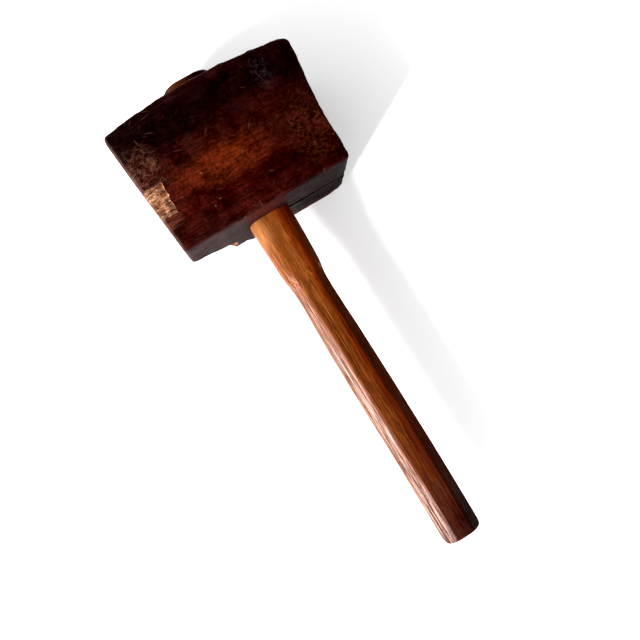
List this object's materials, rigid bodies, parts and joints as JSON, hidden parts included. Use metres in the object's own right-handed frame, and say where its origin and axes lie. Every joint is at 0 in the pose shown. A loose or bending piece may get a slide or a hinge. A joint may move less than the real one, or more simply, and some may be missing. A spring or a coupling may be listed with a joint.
{
  "type": "wooden mallet",
  "caption": "Carpenter's wooden mallet with a worn block head, leaning striking faces and arched top, on a tapered handle that knocks out through the top.",
  "frame": {"origin": "on the resting cheek, halfway up the head, on the handle's centreline", "axes": "+Z is the cheeks' normal and points up when the mallet lies on its cheek; +Y runs along the handle towards the head's arched top, so the grip points to -Y; X runs from one striking face to the other"},
  "size_m": [0.149, 0.389, 0.076],
  "materials": {
    "head_wood": "old dark stained hardwood, worn semi-gloss",
    "handle_wood": "orange-brown open-pored hardwood, polished by hand"
  },
  "bodies": {
    "head": {"head": "head_wood"},
    "handle": {"handle": "handle_wood"}
  },
  "joints": [
    {"name": "handle_knock_out", "type": "slide", "parent": "head", "child": "handle", "axis": [0, 1, 0], "range_m": [0, 0.38]}
  ]
}
